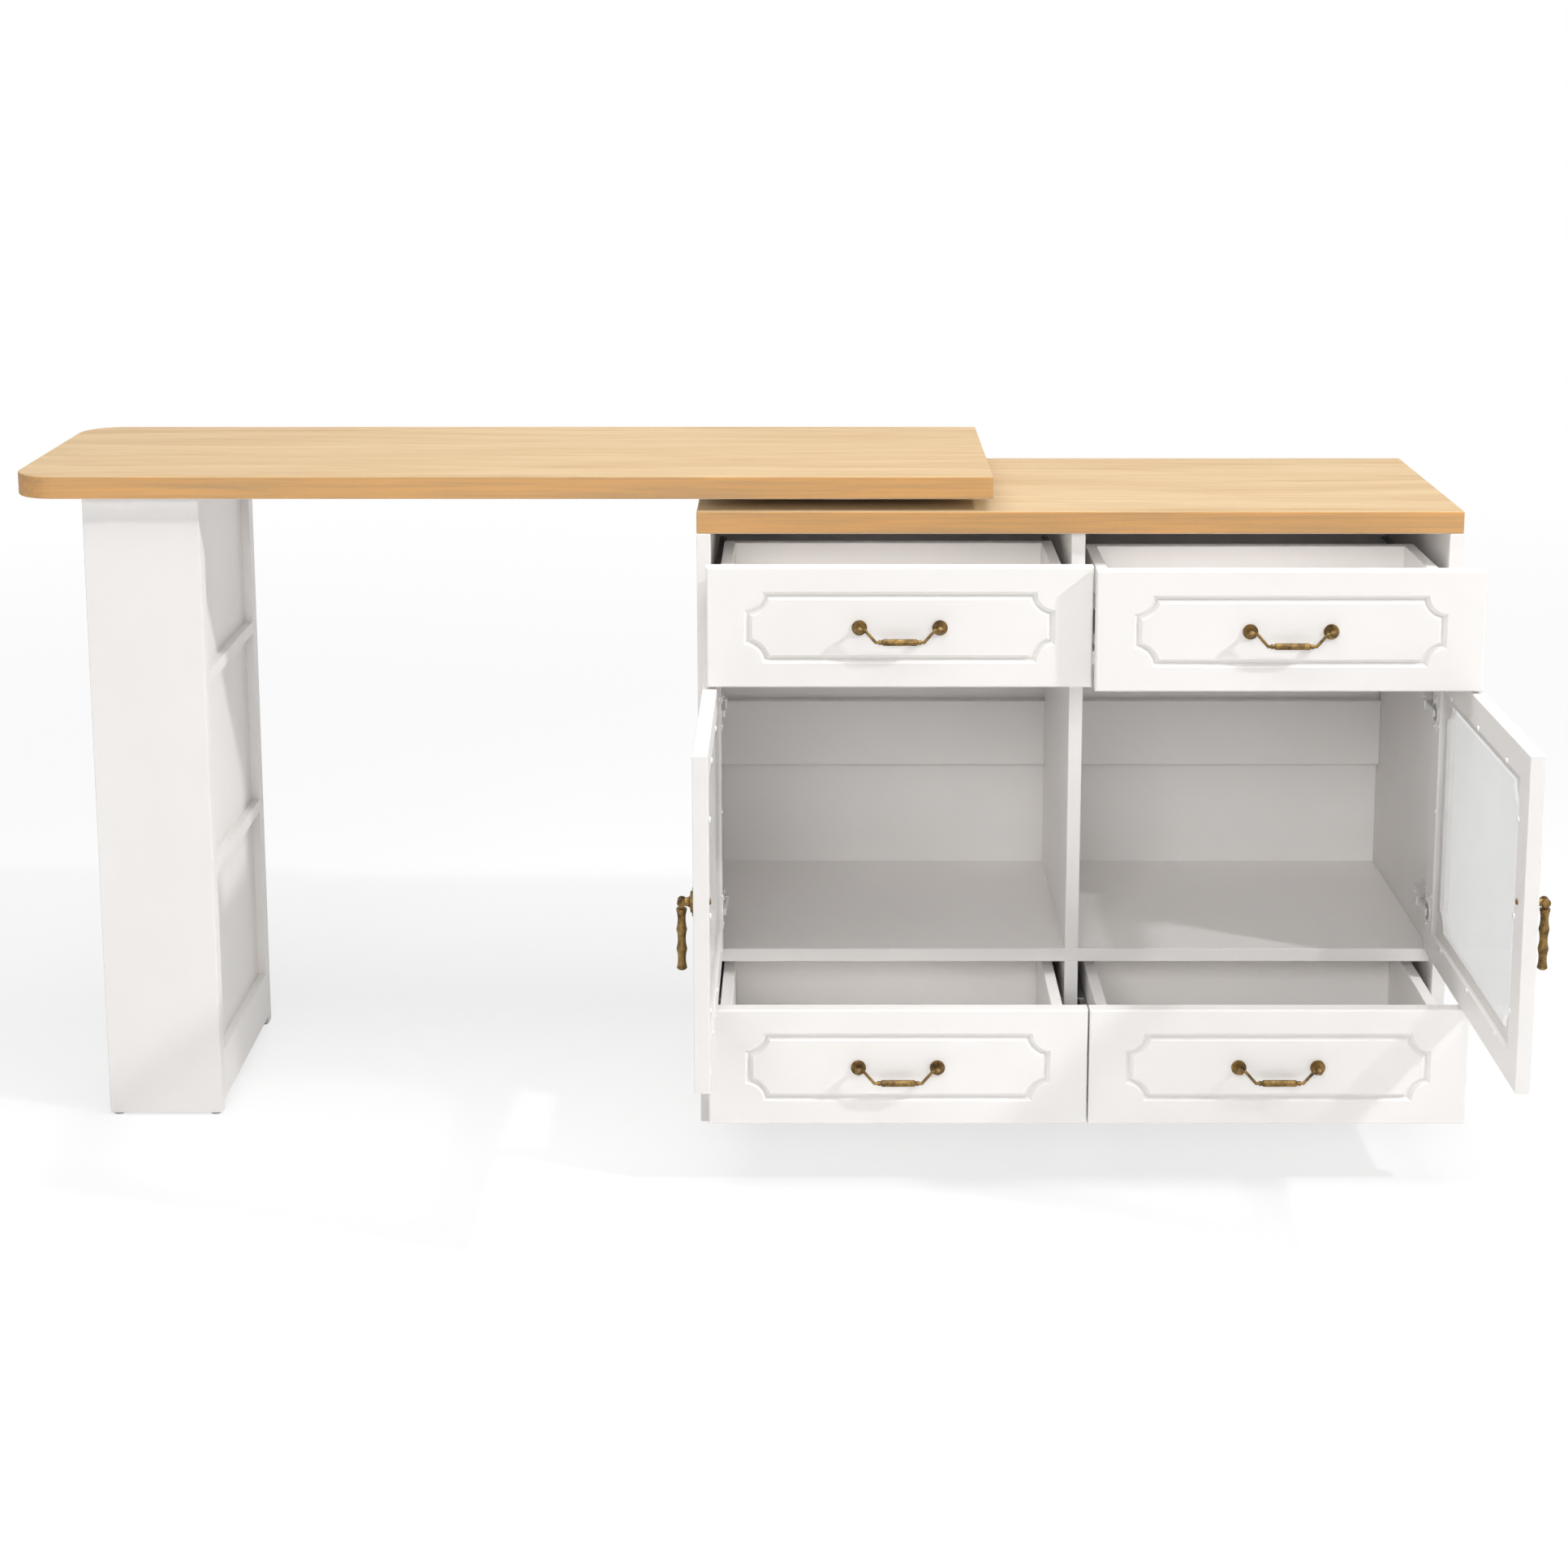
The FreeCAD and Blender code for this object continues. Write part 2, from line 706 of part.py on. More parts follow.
def door_frame(name, side):
    label = f"{name}_door_frame"
    piece = doc.addObject("PartDesign::Body", f"{name}_frame")
    face = sketch_on(piece, f"{label}_face", "XZ_Plane")
    pad(piece, rectangle(face, "front_width / 2", "door_height / 2"), "front_thickness", backwards=True)
    half_x, half_z = "(front_width / 2 - stile)", "(door_height / 2 - door_rail)"
    hole = ticket(sketch_on(piece, f"{label}_hole", "XZ_Plane"), half_x, half_z, "0")
    pocket(piece, hole, "front_thickness")
    back = "-front_thickness"
    rabbet = rectangle(sketch_on(piece, f"{label}_rabbet", "XZ_Plane", back), "glass_half_x", "glass_half_z")
    pocket(piece, rabbet, "rabbet_depth", backwards=True)
    wide_x, wide_z = f"({half_x} + opening_bevel)", f"({half_z} + opening_bevel)"
    mouth = ticket(sketch_on(piece, f"{label}_mouth", "XZ_Plane"), wide_x, wide_z, "0")
    throat = sketch_on(piece, f"{label}_throat", "XZ_Plane", "-opening_bevel_depth")
    loft(piece, "Subtractive", mouth, ticket(throat, wide_x, wide_z, "opening_bevel"))
    across = f"{side} * (front_width / 2 - cup_inset)"
    spots = [(across, f"{z} - door_middle_z") for z in ("hinge_top_z", "hinge_bottom_z")]
    cups = bores(sketch_on(piece, f"{label}_cups", "XZ_Plane", back), spots, "cup_radius + cup_play")
    pocket(piece, cups, "cup_depth + cup_play", backwards=True)
    sides = [s * value("front_width / 2") for s in (-1, 1)]
    ends = [s * value("door_height / 2") for s in (-1, 1)]
    faces = [0.0, value("front_thickness")]
    round_edges(
        piece,
        "front_round / 2",
        lambda e: lies_on(e, "Y", faces) and (lies_on(e, "X", sides) or lies_on(e, "Z", ends)),
    )
    place(piece, f"-({side}) * door_middle", "-door_axis_back", "door_middle_z")
    hang(label, side, [piece])


def door_glass(name, side):
    x = f"-({side}) * door_middle - glass_half_x + glass_play"
    z = "door_middle_z - glass_half_z + glass_play"
    size = [f"2 * (glass_half_{axis} - glass_play)" for axis in "xz"]
    y = "door_back - rabbet_depth"
    pane = board(f"{name}_pane", x, y, z, size[0], "glass_thickness", size[1])
    hang(f"{name}_door_glass", side, [pane])


def hinge_cups(name, side):
    """Bowls sunk in the frame, each with a wing that its screws go through."""
    corners = [
        ("0", "-cup_depth"),
        ("cup_radius", "-cup_depth"),
        ("cup_radius", "0"),
        ("cup_radius + cup_flange", "0"),
        ("cup_radius + cup_flange", "cup_wall"),
        ("cup_radius - cup_wall", "cup_wall"),
        ("cup_radius - cup_wall", "cup_wall - cup_depth"),
        ("0", "cup_wall - cup_depth"),
    ]
    x = f"-({side}) * (door_axis_in + cup_inset)"
    cups = []
    for spot in ("top", "bottom"):
        mark = f"{name}_{spot}"
        z = f"hinge_{spot}_z"
        cup = place(turned(f"{mark}_bowl", corners), x, "door_back", z, BACKWARD)
        wing = box(
            f"{mark}_wing", f"{x} - wing_width / 2", "door_back", f"{z} - wing_height / 2",
            "wing_width", "cup_wall", "wing_height",
        )
        mouth = rod(f"{mark}_mouth", x, "door_back", z, "cup_radius - cup_wall", "cup_wall", BACKWARD)
        cups.append(fused(f"{mark}_cup", [cup, cut(f"{mark}_open_wing", wing, mouth)]))
    hang(f"{name}_hinge_cups", side, cups)


def hinge_arm(name, side, z):
    """A mounting plate on the side panel, an arm, and two ears with the link's pin."""
    wall = "inner_half - plate_thickness"
    plate = box(
        f"{name}_plate", low_x(side, wall, "inner_half"), "front_y + plate_start", f"{z} - plate_height / 2",
        "plate_thickness", "plate_length", "plate_height",
    )
    root = "link_axis_x + ear_margin"
    arm = box(
        f"{name}_bar", low_x(side, root, wall), "front_y + plate_start", f"{z} - arm_height / 2",
        f"{wall} - ({root})", "arm_length", "arm_height",
    )
    pieces = [plate, arm]
    near, far = "link_axis_x - ear_margin", "link_axis_x + ear_root"
    bottom = f"{z} - arm_height / 2"
    for mark, low in (("lower", bottom), ("upper", f"{bottom} + arm_height - ear_thickness")):
        pieces.append(
            box(
                f"{name}_{mark}_ear", low_x(side, near, far), "link_axis_y - ear_margin", low,
                f"{far} - ({near})", "ear_margin + ear_root", "ear_thickness",
            )
        )
    x = f"{side} * link_axis_x"
    pieces.append(rod(f"{name}_pin", x, "link_axis_y", bottom, "link_pin_radius", "arm_height"))
    return fused(name, pieces)


def hinge_link(name, side, z):
    x = f"{side} * link_axis_x"
    low = f"{z} - link_height / 2"
    bar = box(
        f"{name}_bar", f"{x} - link_thickness / 2", "link_axis_y - link_length", low,
        "link_thickness", "link_length", "link_height",
    )
    eye = rod(f"{name}_eye", x, "link_axis_y", low, "link_eye", "link_height")
    bore = rod(f"{name}_bore", x, "link_axis_y", low, "link_pin_radius + link_play", "link_height")
    return cut(name, fused(f"{name}_whole", [bar, eye]), bore)


def door_pull(name, side):
    """A stepped rose and a coved stem with a forked end, and a drop that hangs on its pin."""
    x = f"-({side}) * pull_x"
    front = "-door_axis_back"
    corners = [
        ("0", "0"),
        ("pull_rose_radius", "0"),
        ("pull_rose_radius", "rose_edge"),
        ("pull_step_radius", "rose_edge"),
        ("pull_step_radius", "pull_step"),
        ("pull_stem_radius + pull_cove", "pull_step"),
        ("pull_stem_radius", "pull_step + pull_cove"),
        ("pull_stem_radius", "pull_reach"),
        ("0", "pull_reach"),
    ]
    cove = {5: ("pull_stem_radius + pull_cove", "pull_step + pull_cove", "pull_cove")}
    stem = place(turned(f"{name}_pull_stem", corners, cove), x, front, "pull_height", FORWARD)
    start = f"{x} - clevis_length / 2"
    barrel = rod(f"{name}_clevis", start, "pull_y", "pull_height", "clevis_radius", "clevis_length", ALONG_X)
    slot_half = "(tongue_thickness / 2 + tongue_play)"
    room = "(clevis_radius + tongue_play)"
    slot = box(
        f"{name}_slot", f"{x} - {slot_half}", f"pull_y - {room}", f"pull_height - {room}",
        f"2 * {slot_half}", f"{room} + tongue_eye + tongue_room", f"2 * {room}",
    )
    fork = cut(f"{name}_fork", fused(f"{name}_solid_fork", [stem, barrel]), slot)
    radius = "clevis_pin_radius"
    pin = rod(f"{name}_clevis_pin", start, "pull_y", "pull_height", radius, "clevis_length", ALONG_X)
    hang(f"{name}_pull_post", side, [fused(f"{name}_post", [fork, pin])])
    hang(f"{name}_pull_drop", side, [pull_drop(name, x)])


def pull_drop(name, x):
    """The drop: joints of cane with waists between rings, under a tongue with an eye."""
    joints = 3
    sag = "(bamboo_radius - bamboo_waist)"
    half = "((bamboo_joint - bamboo_ring) / 2)"
    bend = f"(({half} * {half} + {sag} * {sag}) / (2 * {sag}))"
    corners, arcs = [("0", "0")], {}
    for i in range(joints):
        top = f"-({i} * bamboo_joint + bamboo_ring)"
        arcs[len(corners) + 1] = (f"bamboo_waist + {bend}", f"{top} - {half}", bend)
        corners += [("bamboo_radius", f"-({i} * bamboo_joint)"), ("bamboo_radius", top)]
    end = f"-({joints} * bamboo_joint)"
    corners += [("bamboo_radius", end), ("bamboo_radius - bamboo_ring", f"{end} - bamboo_ring")]
    corners.append(("0", f"{end} - bamboo_ring"))
    cane = turned(f"{name}_cane", corners, arcs)
    place(cane, x, "pull_y", "pull_height - tongue_length")
    start = f"{x} - tongue_thickness / 2"
    thick = "tongue_thickness"
    eye = rod(f"{name}_tongue_eye", start, "pull_y", "pull_height", "tongue_eye", thick, ALONG_X)
    neck = box(
        f"{name}_tongue", start, "pull_y - tongue_eye", "pull_height - tongue_length",
        "tongue_thickness", "2 * tongue_eye", "tongue_length",
    )
    bore_radius = "clevis_pin_radius + tongue_play"
    bore = rod(f"{name}_eye_bore", start, "pull_y", "pull_height", bore_radius, "tongue_thickness", ALONG_X)
    return cut(f"{name}_drop", fused(f"{name}_whole_drop", [cane, eye, neck]), bore)


def doors():
    arms = []
    for name, side in SIDES.items():
        door_frame(name, side)
        door_glass(name, side)
        hinge_cups(name, side)
        door_pull(name, side)
        links = []
        for spot in ("top", "bottom"):
            arms.append(hinge_arm(f"{name}_{spot}_arm", side, f"hinge_{spot}_z"))
            links.append(hinge_link(f"{name}_{spot}_link", side, f"hinge_{spot}_z"))
        group(f"{name}_hinge_links", links)
    group("hinge_arms", arms)


# Swivel bearing, table top and leg

def swivel():
    spigot_top = "swivel_gap - spigot_play"
    base = [
        ("0", "0"),
        ("swivel_plate_radius", "0"),
        ("swivel_plate_radius", "swivel_plate"),
        ("spigot_radius", "swivel_plate"),
        ("spigot_radius", spigot_top),
        ("0", spigot_top),
    ]
    ring_top = "swivel_gap - swivel_plate - ring_play"
    ring = [
        ("ring_inner_radius", "swivel_plate"),
        ("ring_outer_radius", "swivel_plate"),
        ("ring_outer_radius", f"{ring_top} - ring_bevel"),
        ("ring_outer_radius - ring_bevel", ring_top),
        ("ring_inner_radius", ring_top),
    ]
    plate = [
        ("spigot_radius + spigot_play", "swivel_gap - swivel_plate"),
        ("swivel_plate_radius", "swivel_gap - swivel_plate"),
        ("swivel_plate_radius", "swivel_gap"),
        ("spigot_radius + spigot_play", "swivel_gap"),
    ]
    rounds = {"swivel_base_plate": base, "swivel_ball_ring": ring, "swivel_top_plate": plate}
    for label, corners in rounds.items():
        node(place(turned(label, corners), "pivot_x", "0", "worktop_top_z"), label)


def table_top():
    piece = doc.addObject("PartDesign::Body", "table_top")
    half = "cabinet_depth / 2"
    left, inset = "-table_length", "table_corner - table_length"
    corners = [
        (inset, f"-{half}"),
        ("0", f"-{half}"),
        ("0", half),
        (inset, half),
        (left, f"{half} - table_corner"),
        (left, f"table_corner - {half}"),
    ]
    arcs = {
        3: (inset, f"{half} - table_corner", "table_corner"),
        5: (inset, f"table_corner - {half}", "table_corner"),
    }
    pad(piece, outline(sketch_on(piece, "table_outline", "XY_Plane"), corners, arcs), "top_thickness")
    levels = [0.0, value("top_thickness")]
    round_edges(piece, "top_round", lambda e: lies_on(e, "Z", levels))
    node(place(piece, "table_right_x", "0", "table_z"), "table_top")


def leg_side(label, x, side):
    """A side of the leg with three sunk fields between its rails."""
    piece = doc.addObject("PartDesign::Body", label)
    height = "table_z - leg_foot_gap"
    block = piece.newObject("PartDesign::AdditiveBox", f"{label}_block")
    bind(block, Length="board", Width="leg_inner_depth", Height=height)
    piece.Tip = block
    rails = [
        ("leg_bottom_rail", "leg_lower_rail"),
        ("leg_lower_rail + leg_rail_height", "leg_upper_rail"),
        ("leg_upper_rail + leg_rail_height", "table_z - leg_top_rail"),
    ]
    for i, (low, high) in enumerate(rails):
        sketch = sketch_on(piece, f"{label}_field_{i}", "YZ_Plane", "board" if side > 0 else "0")
        low, high = f"{low} - leg_foot_gap", f"{high} - leg_foot_gap"
        near, far = "leg_stile", "leg_inner_depth - leg_stile"
        outline(sketch, [(near, low), (far, low), (far, high), (near, high)])
        pocket(piece, sketch, "leg_recess", backwards=side < 0)
    node(place(piece, x, "leg_front_y + board", "leg_foot_gap"), label)


def leg():
    height = "table_z - glide_height"
    for label, y in (("leg_front_panel", "leg_front_y"), ("leg_back_panel", "leg_back_y - board")):
        node(board(label, "leg_left_x", y, "glide_height", "leg_width", "board", height), label)
    leg_side("leg_inner_panel", "leg_right_x - board", 1)
    leg_side("leg_outer_panel", "leg_left_x", -1)
    inside = "leg_width - 2 * board"
    block = board(
        "leg_top_block", "leg_left_x + board", "leg_front_y + board", "table_z - board",
        inside, "leg_inner_depth", "board",
    )
    node(block, "leg_top_block")
    glides = []
    for i, y in enumerate(("leg_front_y + board / 2", "leg_back_y - board / 2")):
        for j, x in enumerate(("leg_left_x + glide_inset", "leg_right_x - glide_inset")):
            glides.append(rod(f"leg_glide_{i}{j}", x, y, "0", "glide_radius", "glide_height"))
    group("leg_glides", glides)


def write_parts():
    """Checks every object, then writes each node's solids."""
    doc.recompute()
    failed = [o.Label for o in doc.Objects if "Invalid" in o.State or "Error" in o.State]
    if failed:
        raise RuntimeError(f"these did not build: {failed}")
    for piece in nodes:
        shape = piece.Shape
        if shape.isNull() or not shape.isValid() or not shape.Solids:
            raise RuntimeError(f"{piece.Label} has no sound solid")
    os.makedirs("parts", exist_ok=True)
    for piece in nodes:
        piece.Shape.exportStep(os.path.join("parts", f"{piece.Label}.step"))


carcass()
bay_boards()
worktop()
drawers()
doors()
swivel()
table_top()
leg()
write_parts()
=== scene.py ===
import json
import math

import bpy
from bpy.props import FloatProperty, FloatVectorProperty, IntProperty, PointerProperty
from mathutils import Matrix, Vector


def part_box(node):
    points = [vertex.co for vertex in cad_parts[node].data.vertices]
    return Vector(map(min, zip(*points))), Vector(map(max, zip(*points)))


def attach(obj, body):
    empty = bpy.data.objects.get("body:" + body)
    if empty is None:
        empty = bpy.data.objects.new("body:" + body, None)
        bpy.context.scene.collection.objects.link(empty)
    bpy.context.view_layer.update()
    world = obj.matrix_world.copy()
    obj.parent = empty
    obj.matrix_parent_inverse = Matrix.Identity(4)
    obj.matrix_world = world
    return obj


bl_info = {
    "name": "Kitchen island",
    "version": (1, 0, 0),
    "blender": (4, 5, 0),
    "location": "3D View > Sidebar > Island",
    "description": "Finishes, fixings and studio for a kitchen island with a swivel table",
    "category": "Object",
}

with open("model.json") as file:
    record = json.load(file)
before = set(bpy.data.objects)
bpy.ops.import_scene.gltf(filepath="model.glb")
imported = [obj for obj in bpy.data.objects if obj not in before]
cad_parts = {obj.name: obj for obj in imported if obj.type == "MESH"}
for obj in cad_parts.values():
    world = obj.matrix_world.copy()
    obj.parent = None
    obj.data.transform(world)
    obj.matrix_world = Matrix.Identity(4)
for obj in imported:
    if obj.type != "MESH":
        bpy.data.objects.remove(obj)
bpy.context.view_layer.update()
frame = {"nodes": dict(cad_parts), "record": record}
SIDES = {"left": -1, "right": 1}
DRAWERS = ("upper_left", "upper_right", "lower_left", "lower_right")
INNER = ["shelf", "centre_divider", "lower_divider", "left_deck", "right_deck"]
INNER += ["bottom_panels", "back_panel", "back_rails"]
INNER += [f"{name}_drawer_{part}" for name in DRAWERS for part in ("walls", "bottom")]

WHITE = (1.0, 1.0, 1.0, 1.0)
# Sockets of a colour mix, which share their names with other sockets
MIX_SHARE, MIX_FIRST, MIX_SECOND, MIX_RESULT = 0, 6, 7, 2
# A face looks along an axis when its normal goes at least this far that way
ALONG = 0.7
# Width of the camera's sensor in millimetres
SENSOR = 36.0
# Where the screws stand along each side of a pane, in shares of the side
PANE_SHARES = (0.15, 0.5, 0.85)

# A screw head's height and rounding and the blade that cuts its recess, in shares of its radius.
# The blade's depth is a share of the height.
HEAD_HEIGHT, HEAD_ROUNDING = 0.55, 0.42
BLADE_LENGTH, BLADE_WIDTH, BLADE_DEPTH = 1.1, 0.22, 0.56
ROUNDING_STEPS = 4
SMOOTH_ANGLE = math.radians(35)
RIM_SLACK = 1e-3

# Each lamp's breadth and height, where it hangs, where it looks and whether reflections show it
LAMPS = {
    "key": ((0.22, 0.22), (3.85, -2.05, 3.9), (0.0, -0.3, 0.5), True),
    "top": ((3.6, 1.6), (-0.4, -0.7, 3.2), (-0.4, -0.2, 0.8), True),
    "front": ((3.0, 1.2), (-0.9, -5.0, 2.6), (-0.3, 0.0, 0.5), True),
    "back": ((3.0, 1.2), (-0.3, 5.0, 2.0), (-0.3, 0.0, 0.5), False),
}


# Shader sums

class Value:
    """A shader socket that takes part in Python sums, each adding a Math node."""

    def __init__(self, finish, socket):
        self.finish = finish
        self.socket = socket

    def sum(self, operation, first, second):
        settings = {"operation": operation}
        return self.finish.node("ShaderNodeMath", settings, {0: first, 1: second})

    def __add__(self, other):
        return self.sum("ADD", self, other)

    def __radd__(self, other):
        return self.sum("ADD", other, self)

    def __sub__(self, other):
        return self.sum("SUBTRACT", self, other)

    def __rsub__(self, other):
        return self.sum("SUBTRACT", other, self)

    def __mul__(self, other):
        return self.sum("MULTIPLY", self, other)

    def __rmul__(self, other):
        return self.sum("MULTIPLY", other, self)

    def __gt__(self, other):
        return self.sum("GREATER_THAN", self, other)

    def __abs__(self):
        return self.sum("ABSOLUTE", self, 0.0)

    def __or__(self, other):
        return self.sum("MAXIMUM", self, other)


class Finish:
    """One material, and the nodes that make it."""

    def __init__(self, name, material=None):
        self.material = material or bpy.data.materials.new(name)
        self.material.use_nodes = True
        self.tree = self.material.node_tree
        self.tree.nodes.clear()

    def node(self, kind, settings=None, sockets=None, out=0):
        """Adds a node: its settings first, then its sockets, each a number, a colour or a link."""
        made = self.tree.nodes.new(kind)
        for name, setting in (settings or {}).items():
            setattr(made, name, setting)
        for key, given in (sockets or {}).items():
            if isinstance(given, Value):
                self.tree.links.new(given.socket, made.inputs[key])
            else:
                made.inputs[key].default_value = given
        return Value(self, made.outputs[out]) if made.outputs else made

    def place(self, stretch=(1.0, 1.0, 1.0)):
        """The piece's own coordinates, in metres, stretched along each axis."""
        own = self.node("ShaderNodeTexCoord", out="Object")
        return self.node("ShaderNodeMapping", {}, {"Vector": own, "Scale": stretch})

    def facing(self, axis):
        """How far a face looks along an axis."""
        normal = self.node("ShaderNodeTexCoord", out="Normal")
        return self.node("ShaderNodeSeparateXYZ", {}, {0: normal}, out=axis)

    def noise(self, place, scale, detail=2.0, rough=0.5, bend=0.0):
        sockets = {"Vector": place, "Scale": scale, "Detail": detail}
        sockets |= {"Roughness": rough, "Distortion": bend}
        return self.node("ShaderNodeTexNoise", {}, sockets)

    def climb(self, value, low, high):
        """Nought up to low, one from high on, and an even climb between them."""
        made = self.node("ShaderNodeValToRGB", {}, {0: value})
        for element, place in zip(made.socket.node.color_ramp.elements, (low, high)):
            element.position = place
        return made

    def blend(self, share, first, second):
        """A colour between two, by share."""
        sockets = {MIX_SHARE: share, MIX_FIRST: first, MIX_SECOND: second}
        return self.node("ShaderNodeMix", {"data_type": "RGBA"}, sockets, out=MIX_RESULT)

    def bump(self, height, depth, strength):
        sockets = {"Height": height, "Distance": depth, "Strength": strength}
        return self.node("ShaderNodeBump", {}, sockets)

    def surface(self, **sockets):
        """The surface shader, its sockets named in words with underscores."""
        named = {}
        for name, given in sockets.items():
            named[name.replace("_", " ").title().replace("Ior", "IOR")] = given
        shader = self.node("ShaderNodeBsdfPrincipled", {}, named)
        self.node("ShaderNodeOutputMaterial", {}, {"Surface": shader})
        return self.material


def clothe(names, material):
    for name in names:
        slots = frame["nodes"][name].data.materials
        slots.clear()
        slots.append(material)


def nodes_of(slot):
    """The CAD nodes that the record gives one material slot."""
    return [part["node"] for part in frame["record"]["subparts"] if part["material_slot"] == slot]


def colour(rgb, share=1.0):
    """A shader's colour, made darker or lighter by a share."""
    return (*[share * part for part in rgb], 1.0)


# What a user would change

def tint(name, description, rgb):
    return FloatVectorProperty(
        name=name, description=description, default=rgb, subtype="COLOR", size=3, min=0.0, max=1.0
    )


def length(name, description, metres):
    return FloatProperty(name=name, description=description, default=metres, min=0.0, unit="LENGTH")


def power(name, description, watts):
    return FloatProperty(name=name, description=description, default=watts, subtype="POWER")


def number(name, description, value):
    return FloatProperty(name=name, description=description, default=value)


class IslandFinishes(bpy.types.PropertyGroup):
    """Colours of the island's finishes."""

    white: tint("White", "Satin paint on the fronts, ends and leg", (0.815, 0.792, 0.773))
    white_shade: tint("White shade", "The paint's faintly warmer patches", (0.793, 0.768, 0.747))
    # The inner white is lighter than the fronts' white: painted light that brightens the shaded
    # inside of the cabinet and drawers. The tops' undersides take it too.
    inner: tint("Inner white", "Boards inside, and undersides of the tops", (0.955, 0.93, 0.91))
    inner_shade: tint("Inner shade", "Duller patches of the inner boards", (0.935, 0.91, 0.89))
    # The tops' ground colour is paled in part as painted sheen. The edge colour is darker and
    # redder, partly as painted shade on the sides and partly as the banding's own colour.
    beech: tint("Beech", "Ground colour of the tops", (0.585, 0.434, 0.25))
    beech_dark: tint("Beech grain", "Darker growth lines of the tops", (0.438, 0.276, 0.133))
    beech_edge_and_shade: tint("Beech edge", "Banding round the tops", (0.65, 0.35, 0.13))
    zinc: tint("Zinc", "Runners and bearing", (0.46, 0.455, 0.45))
    nickel: tint("Nickel", "Hinges and screws", (0.86, 0.855, 0.845))
    bronze: tint("Bronze", "Rubbed metal of the handles", (0.335, 0.208, 0.068))
    patina: tint("Patina", "Dark wash in the handles' hollows", (0.05, 0.03, 0.011))
    glass: tint("Glass", "Face of the panes", (0.65, 0.66, 0.655))
    glass_edge: tint("Glass edge", "Cut edges of the panes", (0.80, 0.84, 0.82))
    glide: tint("Glide", "Feet under the leg", (0.30, 0.295, 0.29))


class IslandFixings(bpy.types.PropertyGroup):
    """Sizes of the small fixings."""

    pane_screw: length("Pane screw", "Head radius of the screws round the glass", 0.0036)
    hinge_screw: length("Hinge screw", "Head radius of the hinges' screws", 0.0022)
    handle_screw: length("Handle screw", "Head radius of the screws behind the bails", 0.0048)
    pull_screw: length("Pull screw", "Head radius of the screws behind the door pulls", 0.0036)
    lap: length("Lap", "How far a pane screw's head laps over the glass", 0.0012)
    bead: length("Bead", "How far a pane reaches over its frame", 0.0135)
    scallop: length("Scallop", "Radius of the frame's scooped corners", 0.023)
    plate: length("Plate", "Thickness of a hinge's plate", 0.0015)
    plate_half: length("Plate half", "Half the height of a hinge's plate", 0.012)
    plate_rise: length("Plate rise", "From a hinge's middle to its plate screws", 0.0095)
    plate_back: length("Plate back", "From the plate's back end to its screws", 0.028)
    arm: length("Arm", "How far a hinge's arm stands off the cabinet", 0.0135)
    arm_back: length("Arm back", "From the plate's back end to the nearer arm screw", 0.016)
    arm_pitch: length("Arm pitch", "Between the two screws of an arm", 0.020)
    wing: length("Wing", "From the end of a cup's wing to its screw", 0.006)
    wing_pitch: length("Wing pitch", "Between the two screws of a cup", 0.034)
    sides: IntProperty(name="Sides", description="Facets round a screw head", default=24, min=8)


class IslandStudio(bpy.types.PropertyGroup):
    """Camera, lights and floor."""

    eye: FloatVectorProperty(
        name="Eye",
        description="Where the camera stands",
        default=(-0.3486, -3.639, 1.5183),
        subtype="XYZ",
        unit="LENGTH",
    )
    pitch: FloatProperty(
        name="Pitch",
        description="How far the camera looks down",
        default=math.radians(10.0),
        subtype="ANGLE",
    )
    lens: number("Lens", "Focal length in millimetres", 61.86)
    shift_x: number("Shift across", "Sideways shift of the frame", -0.0183)
    shift_y: number("Shift up", "Upright shift of the frame", -0.2076)
    key: power("Key", "Power of the light from the upper right", 153.0)
    top: power("Top", "Power of the light overhead", 74.0)
    front: power("Front", "Power of the light by the camera", 81.0)
    back: power("Back", "Power of the light behind", 64.0)
    sky: number("Sky", "Strength of the light from all round", 0.24)
    floor: tint("Floor", "Colour of the pale floor", (0.92, 0.92, 0.92))
    span: length("Span", "Width of the floor", 60.0)
    near: length("Near", "How far out the floor starts to turn white", 1.4)
    far: length("Far", "How far out the floor is white", 4.5)
    glow: number("Glow", "Share of white in the floor round the island", 0.7)


# Finishes

class ISLAND_OT_paint_boards(bpy.types.Operator):
    """Paints the fronts, ends and leg, and faces the boards inside with a lighter white as painted
    light
    """

    bl_idname = "island.paint_boards"
    bl_label = "Paint the boards"

    def execute(self, context):
        sizes = context.scene.island_finishes
        inner = [name for name in nodes_of("white_board") if name in INNER]
        outer = [name for name in nodes_of("white_board") if name not in INNER]
        # The inside boards take the lighter white, as painted light in their shade
        self.coat("white_inner_board", sizes.inner, sizes.inner_shade, inner)
        self.coat("satin_white_paint", sizes.white, sizes.white_shade, outer)
        return {"FINISHED"}

    @staticmethod
    def coat(name, pale, shade, boards):
        """A white with faint patches, a fine peel and a soft sweep of the roller."""
        paint = Finish(name)
        place = paint.place()
        patches = paint.noise(place, scale=5.0, detail=3.0)
        peel = paint.noise(place, scale=620.0, detail=2.0)
        sweep = paint.noise(paint.place(stretch=(6.0, 6.0, 90.0)), scale=3.0, detail=4.0)
        spread = paint.climb(patches, low=0.35, high=0.7)
        base = paint.blend(spread, colour(pale), colour(shade))
        sheen = 0.33 + 0.10 * patches + 0.05 * sweep
        relief = paint.bump(peel + 0.4 * sweep, depth=0.00025, strength=0.22)
        clothe(boards, paint.surface(base_color=base, roughness=sheen, normal=relief))


